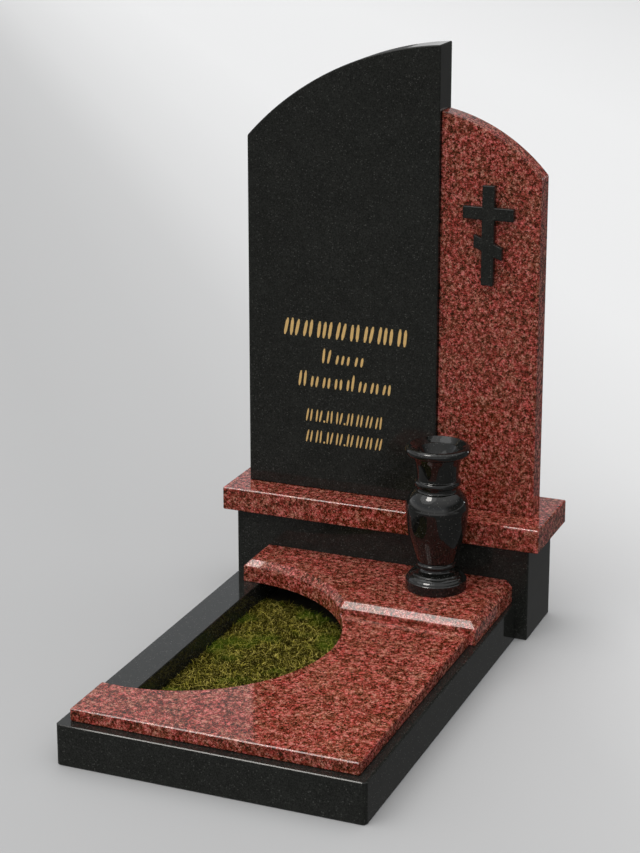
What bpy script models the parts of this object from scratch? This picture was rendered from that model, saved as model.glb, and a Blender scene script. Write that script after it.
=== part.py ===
"""Family memorial of two polished granite steles on a plinth, with a small cross, a kerbed bed and a vase.

Metres, +Z up. The memorial's front faces -Y and +X is to the right of someone who stands before it.
The origin is on the ground, under the middle of the whole memorial's box.
"""
import math

import bmesh
import bpy
from mathutils import Matrix, Vector

# Clearance between stones that touch
GAP = 0.0003

# Eased edge of every polished stone
ARRIS = 0.002

# Kerb frame around the bed
KERB_WIDTH = 0.60
KERB_LENGTH = 0.85
KERB_HEIGHT = 0.08
KERB_BAR = 0.07
KERB_CORNER_RADIUS = 0.009

# Soil and turf inside the kerb
TURF_HEIGHT = 0.04

# Thin ledger
LOWER_THICKNESS = 0.025
LOWER_INSET = 0.02

# Round planting opening through both ledgers: its margins along the bed, and its middle from the kerb's left
OPENING_FRONT_MARGIN = 0.141
OPENING_BACK_MARGIN = 0.105
OPENING_FROM_LEFT = 0.055

# Thick chamfered ledger behind it
UPPER_THICKNESS = 0.047
UPPER_DEPTH = 0.24
UPPER_CHAMFER = 0.013
UPPER_INSET_LEFT = 0.036
UPPER_INSET_RIGHT = 0.008

# Base block under the headstone
BASE_OVERHANG = 0.025
BASE_DEPTH = 0.16
BASE_HEIGHT = 0.20

# Plinth slab
SLAB_OVERHANG_SIDE = 0.025
SLAB_OVERHANG_DEPTH = 0.02
SLAB_THICKNESS = 0.05

# Steles
STELE_INSET = 0.035
BLACK_WIDTH = 0.42
BLACK_THICKNESS = 0.07
BLACK_HEIGHT_LEFT = 0.752
BLACK_HEIGHT_RIGHT = 0.960
BLACK_ARC_RADIUS = 0.627
RED_THICKNESS = 0.05
RED_HEIGHT_LEFT = 0.828
RED_HEIGHT_RIGHT = 0.704
RED_ARC_RADIUS = 0.370

# Cross on the red stele
CROSS_BAR = 0.0255
CROSS_THICKNESS = 0.014
CROSS_HEIGHT = 0.204
CROSS_FOOT_ABOVE_SLAB = 0.482
CROSS_ARM_SPAN = 0.106
CROSS_ARM_BELOW_TOP = 0.057
CROSS_SLANT_SPAN = 0.059
CROSS_SLANT_BELOW_TOP = 0.126
CROSS_SLANT_ANGLE = math.radians(22.5)
CROSS_ARRIS = 0.001

# Where the vase stands on the upper ledger
VASE_FROM_RIGHT = 0.143
VASE_FROM_BASE = 0.088

# Vase outside, from the foot up, each height on top of the last
VASE_FOOT_RADIUS = 0.062
VASE_FOOT_HEIGHT = 0.0205
VASE_STEP = 0.0035
VASE_COVE_RADIUS = 0.0325
VASE_COVE_HEIGHT = 0.0115
VASE_BEAD_DEPTH = 0.008
VASE_BEAD_HEIGHT = 0.010
VASE_WAIST_RADIUS = 0.0375
VASE_BELLY_RADIUS = 0.0635
VASE_BELLY_RISE = 0.109
VASE_SHOULDER_RISE = 0.041
VASE_NECK_RADIUS = 0.042
VASE_GROOVE_HEIGHT = 0.012
VASE_COLLAR_DEPTH = 0.0055
VASE_COLLAR_HEIGHT = 0.0135
VASE_NECK_HEIGHT = 0.0575
VASE_RIM_OVERHANG = 0.024
VASE_RIM_ROLL = 0.0065

# Vase inside, each depth below the last
VASE_LIP_WIDTH = 0.024
VASE_DISH_DEPTH = 0.010
VASE_FUNNEL_DEPTH = 0.030
VASE_BORE_RADIUS = 0.022
VASE_BORE_DEPTH = 0.1435

# Small mouldings between the vase's foot and its cove: how far in they start, how high they rise, their pitch
VASE_MOULDING_INSET = 0.014
VASE_MOULDING_RISE = 0.015
VASE_MOULDING_PITCH = 0.0065

# Points that shape the vase's curves. Each is (share of the change in radius, share of the height)
VASE_NECK_SHAPE = ((0.42, 0.06), (0.20, 0.34), (0.05, 0.66))
VASE_SHOULDER_SHAPE = (0.78, 0.38)
VASE_BELLY_SHAPE = ((0.82, 0.60), (0.40, 0.28))
VASE_COVE_SHAPE = (0.25, 0.70)

# How finely round shapes are divided
ARC_STEP = math.radians(4)
CORNER_STEPS = 4
MOULDING_STEPS = 6
CURVE_STEPS = 3
COVE_STEPS = 2
VASE_STEPS = 40

# Corners closer than this are welded, folds flatter than FLAT_FOLD vanish, and those over SHARP_FOLD are eased
WELD = 0.00001
FLAT_FOLD = math.radians(1)
SHARP_FOLD = math.radians(40)

# Places that follow from the sizes
BASE_WIDTH = KERB_WIDTH + 2 * BASE_OVERHANG
SLAB_WIDTH = BASE_WIDTH + 2 * SLAB_OVERHANG_SIDE
FRONT = -(KERB_LENGTH + BASE_DEPTH + SLAB_OVERHANG_DEPTH) / 2
LEFT = -KERB_WIDTH / 2
RIGHT = KERB_WIDTH / 2
BASE_FRONT = FRONT + KERB_LENGTH
BASE_BACK = BASE_FRONT + BASE_DEPTH
KERB_BACK = BASE_FRONT - GAP
LEDGER_BOTTOM = KERB_HEIGHT + GAP
LOWER_TOP = KERB_HEIGHT + LOWER_THICKNESS
UPPER_TOP = KERB_HEIGHT + UPPER_THICKNESS
UPPER_FRONT = BASE_FRONT - UPPER_DEPTH
OPENING_RADIUS = (KERB_LENGTH - OPENING_FRONT_MARGIN - OPENING_BACK_MARGIN) / 2
OPENING_CENTRE = Vector((LEFT + OPENING_FROM_LEFT, FRONT + OPENING_FRONT_MARGIN + OPENING_RADIUS))
SLAB_BOTTOM = BASE_HEIGHT + GAP
SLAB_TOP = BASE_HEIGHT + SLAB_THICKNESS
STELE_BOTTOM = SLAB_TOP + GAP
STELE_LEFT = -SLAB_WIDTH / 2 + STELE_INSET
STELE_RIGHT = SLAB_WIDTH / 2 - STELE_INSET
STELE_JOIN = STELE_LEFT + BLACK_WIDTH
STELE_MIDDLE = BASE_FRONT + BASE_DEPTH / 2
RED_FRONT = STELE_MIDDLE - RED_THICKNESS / 2
RED_MIDDLE_X = (STELE_JOIN + STELE_RIGHT) / 2


def clear_scene():
    for obj in list(bpy.data.objects):
        bpy.data.objects.remove(obj, do_unlink=True)


def make_collection(name):
    collection = bpy.data.collections.new(name)
    bpy.context.scene.collection.children.link(collection)
    return collection


def make_material(name, colour, roughness, metallic=0.0):
    material = bpy.data.materials.new(name)
    material.use_nodes = True
    shader = material.node_tree.nodes["Principled BSDF"]
    shader.inputs["Base Color"].default_value = (*colour, 1.0)
    shader.inputs["Roughness"].default_value = roughness
    shader.inputs["Metallic"].default_value = metallic
    material.diffuse_color = (*colour, 1.0)
    return material


def circle_point(centre, radius, angle):
    return Vector((centre[0] + radius * math.cos(angle), centre[1] + radius * math.sin(angle)))


def arc_points(centre, radius, start, end, steps=None):
    """Points along a round stretch, from the start angle to the end angle, both ends included."""
    if steps is None:
        steps = max(2, math.ceil(abs(end - start) / ARC_STEP))
    return [circle_point(centre, radius, start + (end - start) * i / steps) for i in range(steps + 1)]


def arc_between(first, last, radius):
    """Points on the arc of this radius that bulges up from the first point to the last, left to right."""
    first = Vector(first)
    last = Vector(last)
    chord = last - first
    rise = math.sqrt(radius ** 2 - (chord.length / 2) ** 2)
    across = Vector((chord.y, -chord.x)).normalized()
    centre = (first + last) / 2 + across * rise
    start = math.atan2(first.y - centre.y, first.x - centre.x)
    end = math.atan2(last.y - centre.y, last.x - centre.x)
    return arc_points(centre, radius, start, end)


def smooth_through(stations, steps):
    """Points of a smooth curve that passes through the stations, which are (radius, height) pairs."""
    points = [Vector(s) for s in stations]
    ends = [2 * points[0] - points[1]] + points + [2 * points[-1] - points[-2]]
    out = []
    for i in range(1, len(ends) - 2):
        for k in range(steps):
            t = k / steps
            out.append(0.5 * (
                2 * ends[i]
                + (ends[i + 1] - ends[i - 1]) * t
                + (2 * ends[i - 1] - 5 * ends[i] + 4 * ends[i + 1] - ends[i + 2]) * t ** 2
                + (3 * ends[i] - ends[i - 1] - 3 * ends[i + 1] + ends[i + 2]) * t ** 3))
    out.append(points[-1])
    return out


def finish_piece(obj, collection, material):
    for old in list(obj.users_collection):
        old.objects.unlink(obj)
    collection.objects.link(obj)
    obj.data.materials.clear()
    obj.data.materials.append(material)
    return obj


def add_bevel(obj, width, limit="ANGLE"):
    bevel = obj.modifiers.new("Arris" if limit == "ANGLE" else "Chamfer", "BEVEL")
    bevel.width = width
    bevel.segments = 1
    bevel.limit_method = limit
    bevel.angle_limit = SHARP_FOLD
    return bevel


def block(name, low, high, collection, material, arris=ARRIS):
    """A box between two corners, with its edges eased."""
    low = Vector(low)
    high = Vector(high)
    mesh = bpy.data.meshes.new(name)
    bm = bmesh.new()
    bmesh.ops.create_cube(bm, size=1.0, matrix=Matrix.Diagonal((*(high - low), 1.0)))
    bm.to_mesh(mesh)
    bm.free()
    obj = bpy.data.objects.new(name, mesh)
    obj.location = (low + high) / 2
    finish_piece(obj, collection, material)
    if arris:
        add_bevel(obj, arris)
    return obj


def outlined_stone(name, outline, low, high, collection, material, upright=False):
    """A flat outline cut from a slab: laid flat between two heights, or upright between two depths."""
    curve = bpy.data.curves.new(name + "_outline", "CURVE")
    curve.dimensions = "2D"
    curve.fill_mode = "BOTH"
    curve.extrude = (high - low) / 2
    spline = curve.splines.new("POLY")
    spline.points.add(len(outline) - 1)
    for point, place in zip(spline.points, outline):
        point.co = (place[0], place[1], 0.0, 1.0)
    spline.use_cyclic_u = True
    flat = bpy.data.objects.new(name + "_outline", curve)
    bpy.context.scene.collection.objects.link(flat)
    if upright:
        flat.rotation_euler = (math.radians(90), 0.0, 0.0)
        flat.location = (0.0, (low + high) / 2, 0.0)
    else:
        flat.location = (0.0, 0.0, (low + high) / 2)
    bpy.context.view_layer.update()

    depsgraph = bpy.context.evaluated_depsgraph_get()
    mesh = bpy.data.meshes.new_from_object(flat.evaluated_get(depsgraph))
    mesh.name = name
    bm = bmesh.new()
    bm.from_mesh(mesh)
    bmesh.ops.remove_doubles(bm, verts=bm.verts, dist=WELD)
    bmesh.ops.dissolve_limit(bm, angle_limit=FLAT_FOLD, verts=bm.verts, edges=bm.edges)
    bmesh.ops.recalc_face_normals(bm, faces=bm.faces)
    bm.to_mesh(mesh)
    bm.free()
    obj = bpy.data.objects.new(name, mesh)
    obj.matrix_world = flat.matrix_world
    bpy.data.objects.remove(flat, do_unlink=True)
    bpy.data.curves.remove(curve)
    return finish_piece(obj, collection, material)


def weight_edges(obj, wanted):
    """Marks the edges that a chamfer follows: wanted(a, b) gets the edge's two corners."""
    mesh = obj.data
    weights = mesh.attributes.new("bevel_weight_edge", "FLOAT", "EDGE")
    for edge in mesh.edges:
        a, b = (obj.matrix_world @ mesh.vertices[i].co for i in edge.vertices)
        weights.data[edge.index].value = 1.0 if wanted(a, b) else 0.0


def build_kerb(collection, material):
    r = KERB_CORNER_RADIUS
    quarter = math.pi / 2
    front_back = FRONT + KERB_BAR - GAP
    outline = arc_points((LEFT + r, FRONT + r), r, 2 * quarter, 3 * quarter, CORNER_STEPS)
    outline += arc_points((RIGHT - r, FRONT + r), r, 3 * quarter, 4 * quarter, CORNER_STEPS)
    outline += [Vector((RIGHT, front_back)), Vector((LEFT, front_back))]
    front = outlined_stone("kerb_front", outline, 0.0, KERB_HEIGHT, collection, material)
    add_bevel(front, ARRIS)
    for name, left in (("kerb_left", LEFT), ("kerb_right", RIGHT - KERB_BAR)):
        low = (left, FRONT + KERB_BAR, 0.0)
        block(name, low, (left + KERB_BAR, KERB_BACK, KERB_HEIGHT), collection, material)


def build_turf(collection, material):
    low = (LEFT + KERB_BAR + GAP, FRONT + KERB_BAR + GAP, 0.0)
    high = (RIGHT - KERB_BAR - GAP, KERB_BACK - GAP, TURF_HEIGHT)
    block("turf", low, high, collection, material, arris=0.0)


def opening_angle_at_x(x):
    """Angle, above the X axis, at which the planting circle passes this X."""
    return math.acos((x - OPENING_CENTRE.x) / OPENING_RADIUS)


def opening_angle_at_y(y):
    """Angle, right of the circle's middle, at which the planting circle passes this Y."""
    return math.asin((y - OPENING_CENTRE.y) / OPENING_RADIUS)


def build_lower_ledger(collection, material):
    left = LEFT + LOWER_INSET
    right = RIGHT - LOWER_INSET
    front = FRONT + LOWER_INSET
    back = UPPER_FRONT - GAP
    outline = [Vector((left, front)), Vector((right, front)), Vector((right, back))]
    outline += arc_points(OPENING_CENTRE, OPENING_RADIUS, opening_angle_at_y(back), -opening_angle_at_x(left))
    ledger = outlined_stone("lower_ledger", outline, LEDGER_BOTTOM, LOWER_TOP, collection, material)
    add_bevel(ledger, ARRIS)


def build_upper_ledger(collection, material):
    left = LEFT + UPPER_INSET_LEFT
    right = RIGHT - UPPER_INSET_RIGHT
    back = KERB_BACK
    outline = [Vector((right, UPPER_FRONT)), Vector((right, back)), Vector((left, back))]
    outline += arc_points(OPENING_CENTRE, OPENING_RADIUS, opening_angle_at_x(left),
                          opening_angle_at_y(UPPER_FRONT))
    ledger = outlined_stone("upper_ledger", outline, LEDGER_BOTTOM, UPPER_TOP, collection, material)

    middle = (LEDGER_BOTTOM + UPPER_TOP) / 2

    def on_chamfered_edge(a, b):
        at_top = a.z > middle and b.z > middle
        at_back = a.y > back - GAP and b.y > back - GAP
        return at_top and not at_back

    weight_edges(ledger, on_chamfered_edge)
    add_bevel(ledger, UPPER_CHAMFER, "WEIGHT")


def build_base(collection, material):
    low = (-BASE_WIDTH / 2, BASE_FRONT, 0.0)
    high = (BASE_WIDTH / 2, BASE_BACK, BASE_HEIGHT)
    block("base_block", low, high, collection, material)


def build_slab(collection, material):
    low = (-SLAB_WIDTH / 2, BASE_FRONT - SLAB_OVERHANG_DEPTH, SLAB_BOTTOM)
    high = (SLAB_WIDTH / 2, BASE_BACK + SLAB_OVERHANG_DEPTH, SLAB_TOP)
    block("plinth_slab", low, high, collection, material)


def build_stele(name, left, right, height_left, height_right, radius, thickness, collection, material):
    top_left = (left, SLAB_TOP + height_left)
    top_right = (right, SLAB_TOP + height_right)
    outline = [Vector((right, STELE_BOTTOM)), Vector((left, STELE_BOTTOM))]
    outline += arc_between(top_left, top_right, radius)
    front = STELE_MIDDLE - thickness / 2
    stele = outlined_stone(name, outline, front, front + thickness, collection, material, upright=True)
    add_bevel(stele, ARRIS)


def build_cross(collection, cutters, material):
    """Upright, straight arm and slanted lower arm with upright ends, joined into one body."""
    foot = SLAB_TOP + CROSS_FOOT_ABOVE_SLAB
    top = foot + CROSS_HEIGHT
    back = RED_FRONT - GAP
    middle_y = back - CROSS_THICKNESS / 2

    def bar(name, width, height, z, home):
        low = (-width / 2, -CROSS_THICKNESS / 2, -height / 2)
        high = (width / 2, CROSS_THICKNESS / 2, height / 2)
        obj = block(name, low, high, home, material, arris=0.0)
        obj.location = (RED_MIDDLE_X, middle_y, z)
        return obj

    upright = bar("cross", CROSS_BAR, CROSS_HEIGHT, (foot + top) / 2, collection)
    arm = bar("cross_arm_joiner", CROSS_ARM_SPAN, CROSS_BAR, top - CROSS_ARM_BELOW_TOP, cutters)
    slant = bar("cross_slant_joiner", CROSS_SLANT_SPAN, CROSS_BAR, top - CROSS_SLANT_BELOW_TOP, cutters)
    for corner in slant.data.vertices:
        corner.co.z -= corner.co.x * math.tan(CROSS_SLANT_ANGLE)
    for joiner in (arm, slant):
        joiner.hide_render = True
        joiner.display_type = "WIRE"
        union = upright.modifiers.new("Join_" + joiner.name, "BOOLEAN")
        union.operation = "UNION"
        union.solver = "EXACT"
        union.object = joiner
    add_bevel(upright, CROSS_ARRIS)


def half_round(radius, depth, middle, height, first, last):
    """Points of a half-round moulding that stands proud of a radius, from its top down."""
    return [(radius + depth * math.sin(math.pi * i / MOULDING_STEPS),
             middle + height / 2 * math.cos(math.pi * i / MOULDING_STEPS))
            for i in range(first, last + 1)]


def vase_profile():
    """Half section from the bottom of the bore, up inside, over the rim and down the outside to the foot."""
    moulding_top = VASE_FOOT_HEIGHT + VASE_MOULDING_RISE
    bead_bottom = moulding_top + VASE_COVE_HEIGHT
    body_bottom = bead_bottom + VASE_BEAD_HEIGHT
    belly = body_bottom + VASE_BELLY_RISE
    shoulder = belly + VASE_SHOULDER_RISE
    collar_bottom = shoulder + VASE_GROOVE_HEIGHT
    collar_top = collar_bottom + VASE_COLLAR_HEIGHT
    rim_bottom = collar_top + VASE_NECK_HEIGHT
    rim_middle = rim_bottom + VASE_RIM_ROLL
    top = rim_middle + VASE_RIM_ROLL
    rim_radius = VASE_NECK_RADIUS + VASE_RIM_OVERHANG
    mouth_radius = rim_radius - VASE_LIP_WIDTH
    dish_bottom = top - VASE_DISH_DEPTH
    funnel_bottom = dish_bottom - VASE_FUNNEL_DEPTH
    bore_bottom = funnel_bottom - VASE_BORE_DEPTH

    inside = [(0.0, bore_bottom), (VASE_BORE_RADIUS, bore_bottom), (VASE_BORE_RADIUS, funnel_bottom),
              (mouth_radius, dish_bottom)]
    rim = arc_points((rim_radius - VASE_RIM_ROLL, rim_middle), VASE_RIM_ROLL, math.pi / 2, -math.pi / 2,
                     MOULDING_STEPS)
    neck = [(VASE_NECK_RADIUS + out * VASE_RIM_OVERHANG, rim_bottom - down * VASE_NECK_HEIGHT)
            for out, down in VASE_NECK_SHAPE]
    neck = smooth_through(neck + [(VASE_NECK_RADIUS, collar_top)], CURVE_STEPS)
    collar = half_round(VASE_NECK_RADIUS, VASE_COLLAR_DEPTH, (collar_bottom + collar_top) / 2,
                        VASE_COLLAR_HEIGHT, 1, MOULDING_STEPS - 1)
    bulge = VASE_BELLY_RADIUS - VASE_NECK_RADIUS
    swell = VASE_BELLY_RADIUS - VASE_WAIST_RADIUS
    out, down = VASE_SHOULDER_SHAPE
    body = [(VASE_NECK_RADIUS, collar_bottom), (VASE_NECK_RADIUS, shoulder),
            (VASE_NECK_RADIUS + out * bulge, shoulder - down * VASE_SHOULDER_RISE),
            (VASE_BELLY_RADIUS, belly)]
    body += [(VASE_WAIST_RADIUS + out * swell, body_bottom + up * VASE_BELLY_RISE)
             for out, up in VASE_BELLY_SHAPE]
    body = smooth_through(body + [(VASE_WAIST_RADIUS, body_bottom)], CURVE_STEPS)
    bead = half_round(VASE_COVE_RADIUS, VASE_BEAD_DEPTH, (bead_bottom + body_bottom) / 2,
                      VASE_BEAD_HEIGHT, 2, MOULDING_STEPS - 1)
    moulding_radius = VASE_FOOT_RADIUS - VASE_MOULDING_INSET
    out, down = VASE_COVE_SHAPE
    cove = smooth_through([
        (VASE_COVE_RADIUS, bead_bottom),
        (VASE_COVE_RADIUS + out * (moulding_radius - VASE_COVE_RADIUS), bead_bottom - down * VASE_COVE_HEIGHT),
        (moulding_radius, moulding_top)], COVE_STEPS)
    moulding = []
    for shift in (0.0, VASE_MOULDING_PITCH):
        radius = moulding_radius + shift
        z = moulding_top - shift
        moulding += [(radius, z - VASE_STEP / 2), (radius + VASE_STEP, z - VASE_STEP)]
    foot = [(VASE_FOOT_RADIUS - VASE_STEP / 2, VASE_FOOT_HEIGHT),
            (VASE_FOOT_RADIUS, VASE_FOOT_HEIGHT - VASE_STEP / 2),
            (VASE_FOOT_RADIUS, 0.0), (0.0, 0.0)]
    return inside + rim + neck + collar + body + bead + cove + moulding + foot


def build_vase(collection, material):
    profile = vase_profile()
    mesh = bpy.data.meshes.new("vase")
    bm = bmesh.new()
    corners = [bm.verts.new((radius, 0.0, height)) for radius, height in profile]
    for a, b in zip(corners, corners[1:]):
        bm.edges.new((a, b))
    bm.to_mesh(mesh)
    bm.free()
    vase = bpy.data.objects.new("vase", mesh)
    vase.location = (RIGHT - VASE_FROM_RIGHT, BASE_FRONT - VASE_FROM_BASE, UPPER_TOP + GAP)
    screw = vase.modifiers.new("Turn", "SCREW")
    screw.axis = "Z"
    screw.angle = 2 * math.pi
    screw.steps = VASE_STEPS
    screw.render_steps = VASE_STEPS
    screw.use_merge_vertices = True
    screw.merge_threshold = WELD
    screw.use_smooth_shade = True
    finish_piece(vase, collection, material)


def main():
    clear_scene()
    memorial = make_collection("family_memorial")
    cutters = make_collection("cutters")

    black_granite = make_material("black_granite", (0.012, 0.012, 0.011), 0.08)
    red_granite = make_material("red_granite", (0.26, 0.065, 0.045), 0.12)
    turf = make_material("turf", (0.055, 0.062, 0.018), 0.9)

    build_kerb(memorial, black_granite)
    build_turf(memorial, turf)
    build_lower_ledger(memorial, red_granite)
    build_upper_ledger(memorial, red_granite)
    build_base(memorial, black_granite)
    build_slab(memorial, red_granite)
    build_stele("black_stele", STELE_LEFT, STELE_JOIN - GAP, BLACK_HEIGHT_LEFT, BLACK_HEIGHT_RIGHT,
                BLACK_ARC_RADIUS, BLACK_THICKNESS, memorial, black_granite)
    build_stele("red_stele", STELE_JOIN, STELE_RIGHT, RED_HEIGHT_LEFT, RED_HEIGHT_RIGHT,
                RED_ARC_RADIUS, RED_THICKNESS, memorial, red_granite)
    build_cross(memorial, cutters, black_granite)
    build_vase(memorial, black_granite)


main()
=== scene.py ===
"""Family headstone of polished granite with a kerbed grave bed, a small cross and a turned vase.

Metres, +Z up. The front faces -Y and +X is to the right of someone who stands before it. Every stone keeps
the place of its solid in the frame, and is made again here with finer arcs, eased edges and its polish.
"""
import math

import bmesh
import bpy
import numpy as np
from mathutils import Matrix, Vector


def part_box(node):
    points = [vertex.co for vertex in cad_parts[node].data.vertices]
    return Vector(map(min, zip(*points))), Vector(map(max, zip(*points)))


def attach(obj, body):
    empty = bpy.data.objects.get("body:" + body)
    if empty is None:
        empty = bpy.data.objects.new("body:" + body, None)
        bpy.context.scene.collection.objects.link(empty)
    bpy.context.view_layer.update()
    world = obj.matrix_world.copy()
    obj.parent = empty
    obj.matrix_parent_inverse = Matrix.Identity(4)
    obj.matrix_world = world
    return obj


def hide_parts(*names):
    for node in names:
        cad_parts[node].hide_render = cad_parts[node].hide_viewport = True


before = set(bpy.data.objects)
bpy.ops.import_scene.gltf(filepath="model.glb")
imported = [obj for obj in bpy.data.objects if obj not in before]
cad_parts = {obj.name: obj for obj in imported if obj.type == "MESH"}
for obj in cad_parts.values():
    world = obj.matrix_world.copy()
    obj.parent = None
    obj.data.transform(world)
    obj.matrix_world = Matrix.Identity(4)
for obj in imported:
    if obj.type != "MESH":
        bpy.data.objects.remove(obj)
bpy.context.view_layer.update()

bl_info = {
    "name": "Granite family headstone",
    "version": (1, 0, 0),
    "blender": (4, 5, 0),
    "location": "View3D > Sidebar > Headstone",
    "description": "Builds a polished granite headstone with its kerbed bed, ledgers, turf and vase",
    "category": "Add Mesh",
}

# A point nearer than this to a plane lies on it
GAP = 0.0003
# Points nearer to each other than this are one point
WELD = 0.00001
# A fold sharper than this is an edge that the mason eases
EDGE_FOLD = math.radians(30)
# A fold flatter than this belongs to an arc, and is shaded smooth
ARC_FOLD = 18


def linear(code):
    """A #rrggbb sRGB colour as linear red, green and blue."""
    channels = [int(code[i:i + 2], 16) / 255 for i in (1, 3, 5)]
    return tuple(c / 12.92 if c <= 0.04045 else ((c + 0.055) / 1.055) ** 2.4 for c in channels)


def grey(value):
    return (value, value, value)


def size_value(name, default, description):
    return bpy.props.FloatProperty(name=name, default=default, description=description, subtype="DISTANCE",
                                   unit="LENGTH", precision=4)


def colour_value(name, code, description):
    return bpy.props.FloatVectorProperty(name=name, default=linear(code), description=description,
                                         subtype="COLOR", size=3, min=0.0, max=1.0)


class HeadstoneSizes(bpy.types.PropertyGroup):
    """Sizes of the stonework that its solids leave to the finish."""
    arris: size_value("Arris", 0.0020, "Width of the polished facet along each edge of a stone")
    kerb_arris: size_value("Kerb arris", 0.0015, "Width of the facet along the edges of the kerb")
    fine_arris: size_value(
        "Fine arris", 0.0012, "Width of the facet along the edges of the cross and of the thick ledger")
    kerb_corner: size_value("Kerb corner", 0.009, "Radius of the rounded upright corners of the front kerb")
    chamfer: size_value("Chamfer", 0.013, "Width and height of the slope along the top of the thick ledger")
    opening_radius: size_value("Opening radius", 0.302, "Radius of the round planting opening")
    opening_x: size_value("Opening across", -0.245, "Middle of the planting opening across the bed")
    opening_y: size_value("Opening along", -0.072, "Middle of the planting opening along the bed")
    black_left: size_value(
        "Tall stele, left side", 0.752, "Height of the black stele's left side above the plinth")
    black_radius: size_value("Tall stele, arc", 0.627, "Radius of the black stele's top")
    red_right: size_value(
        "Low stele, right side", 0.704, "Height of the red stele's right side above the plinth")
    red_radius: size_value("Low stele, arc", 0.370, "Radius of the red stele's top")
    cross_bar: size_value("Cross bar", 0.0255, "Width of the bars of the cross")
    cross_arm_below_top: size_value(
        "Cross arm", 0.057, "Depth of the straight arm's middle below the cross's top")
    cross_slant_span: size_value("Slanted arm", 0.059, "Span of the slanted lower arm")
    cross_slant_below_top: size_value(
        "Slanted arm drop", 0.126, "Depth of the slanted arm's middle below the cross's top")
    cross_slant_angle: bpy.props.FloatProperty(
        name="Slant", default=math.radians(22.5), subtype="ANGLE", description="Slope of the lower arm")
    stroke_relief: size_value(
        "Stroke relief", 0.0005, "How far the gilded strokes stand proud of the stele")
    soil_height: size_value("Soil height", 0.028, "Height of the soil inside the kerb")
    blade_length: size_value("Blade length", 0.019, "Mean length of the blades of grass")
    blade_width: size_value("Blade width", 0.0023, "Width of a blade of grass at its root")


class HeadstoneFinish(bpy.types.PropertyGroup):
    """Colours of the stones, the gilding and the turf, and how much grass grows."""
    black_stone: colour_value("Black granite", "#232421", "Fine dark ground of the black granite")
    black_cloud: colour_value("Black granite, lighter", "#2a2b28", "Slightly lighter clouds in it")
    black_fleck: colour_value("Black granite fleck", "#5e5e5a", "Small grey feldspar flecks in it")
    red_mica: colour_value("Red granite, mica", "#301d08", "Dark olive-brown mica and amphibole grains")
    red_dark: colour_value("Red granite, dark", "#5b2113", "Feldspar darkened by fine mica")
    red_deep: colour_value("Red granite, deep", "#753222", "Deep red feldspar")
    red_plain: colour_value("Red granite, plain", "#8b3f30", "Red feldspar, the commonest tone")
    red_bright: colour_value("Red granite, bright", "#a94c3e", "Bright red feldspar")
    red_salmon: colour_value("Red granite, salmon", "#c36252", "Pale salmon feldspar")
    red_pale: colour_value("Red granite, pale", "#de9488", "The palest grains, with quartz in them")
    gilding: colour_value("Gilding", "#ffd488", "Gold paint of the strokes")
    soil: colour_value("Soil", "#1c180c", "Damp soil between the blades")
    grass_dark: colour_value("Grass, dark", "#332f08", "Shaded, olive blades")
    grass_light: colour_value("Grass, light", "#b0a53c", "Yellow-green blades")
    grass_fresh: colour_value("Grass, fresh", "#5c7e1a", "Fresh green blades")
    grass_straw: colour_value("Grass, straw", "#d8c86a", "Dry blades")
    blades: bpy.props.IntProperty(name="Blades", default=88000, min=1000, max=150000,
                                  description="Number of blades of grass in the planting opening")
    seed: bpy.props.IntProperty(
        name="Seed", default=7, description="Fixes where the blades and strokes fall")
    floor_near: colour_value("Floor, near", "#c6c6c6", "Pale grey of the studio paper under the stones")
    # The paler floor tone is painted light, laid on the paper behind the stones on the right
    floor_painted_light: colour_value("Floor, far", "#f5f5f5", "Paler tone that the paper runs into behind them")


# Modelling by hand

def begin():
    """Back in object mode with nothing selected."""
    if bpy.context.object and bpy.context.object.mode != "OBJECT":
        bpy.ops.object.mode_set(mode="OBJECT")
    bpy.ops.object.select_all(action="DESELECT")


def name_new(name):
    piece = bpy.context.active_object
    piece.name = name
    piece.data.name = name
    return piece


def apply_place(piece):
    begin()
    piece.select_set(True)
    bpy.context.view_layer.objects.active = piece
    bpy.ops.object.transform_apply(location=True, rotation=True, scale=True)


def new_block(name, low, high):
    """A cube, stretched between two corners, with its place in its mesh."""
    begin()
    low = Vector(low)
    high = Vector(high)
    bpy.ops.mesh.primitive_cube_add(size=1.0, location=(low + high) / 2)
    piece = name_new(name)
    bpy.ops.transform.resize(value=high - low)
    apply_place(piece)
    return piece


def edit(piece, kind="VERT"):
    begin()
    piece.select_set(True)
    bpy.context.view_layer.objects.active = piece
    bpy.ops.object.mode_set(mode="EDIT")
    bpy.ops.mesh.select_mode(type=kind)


def pick(piece, kind, test):
    """In edit mode, selects only the vertices, edges or faces that pass the test."""
    edit(piece, kind)
    bpy.ops.mesh.select_all(action="DESELECT")
    mesh = bmesh.from_edit_mesh(piece.data)
    mesh.normal_update()
    for element in {"VERT": mesh.verts, "EDGE": mesh.edges, "FACE": mesh.faces}[kind]:
        if test(element):
            element.select_set(True)
    mesh.select_flush_mode()
    bmesh.update_edit_mesh(piece.data)


def draw_path(name, points):
    """A tiny plane's corners, merged to one, and that vertex extruded from point to point."""
    begin()
    bpy.ops.mesh.primitive_plane_add(size=GAP, location=points[0])
    piece = name_new(name)
    apply_place(piece)
    edit(piece)
    bpy.ops.mesh.select_all(action="SELECT")
    bpy.ops.mesh.merge(type="CENTER")
    for here, there in zip(points, points[1:]):
        bpy.ops.mesh.extrude_vertices_move(TRANSFORM_OT_translate={"value": Vector(there) - Vector(here)})
    return piece


def draw_stone(name, outline, thickness):
    """A closed outline, filled and extruded by its thickness."""
    piece = draw_path(name, outline)
    bpy.ops.mesh.select_all(action="SELECT")
    bpy.ops.mesh.edge_face_add()
    bpy.ops.mesh.extrude_region_move(TRANSFORM_OT_translate={"value": thickness})
    bpy.ops.mesh.select_all(action="SELECT")
    bpy.ops.mesh.normals_make_consistent(inside=False)
    bpy.ops.object.mode_set(mode="OBJECT")
    return piece


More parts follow.
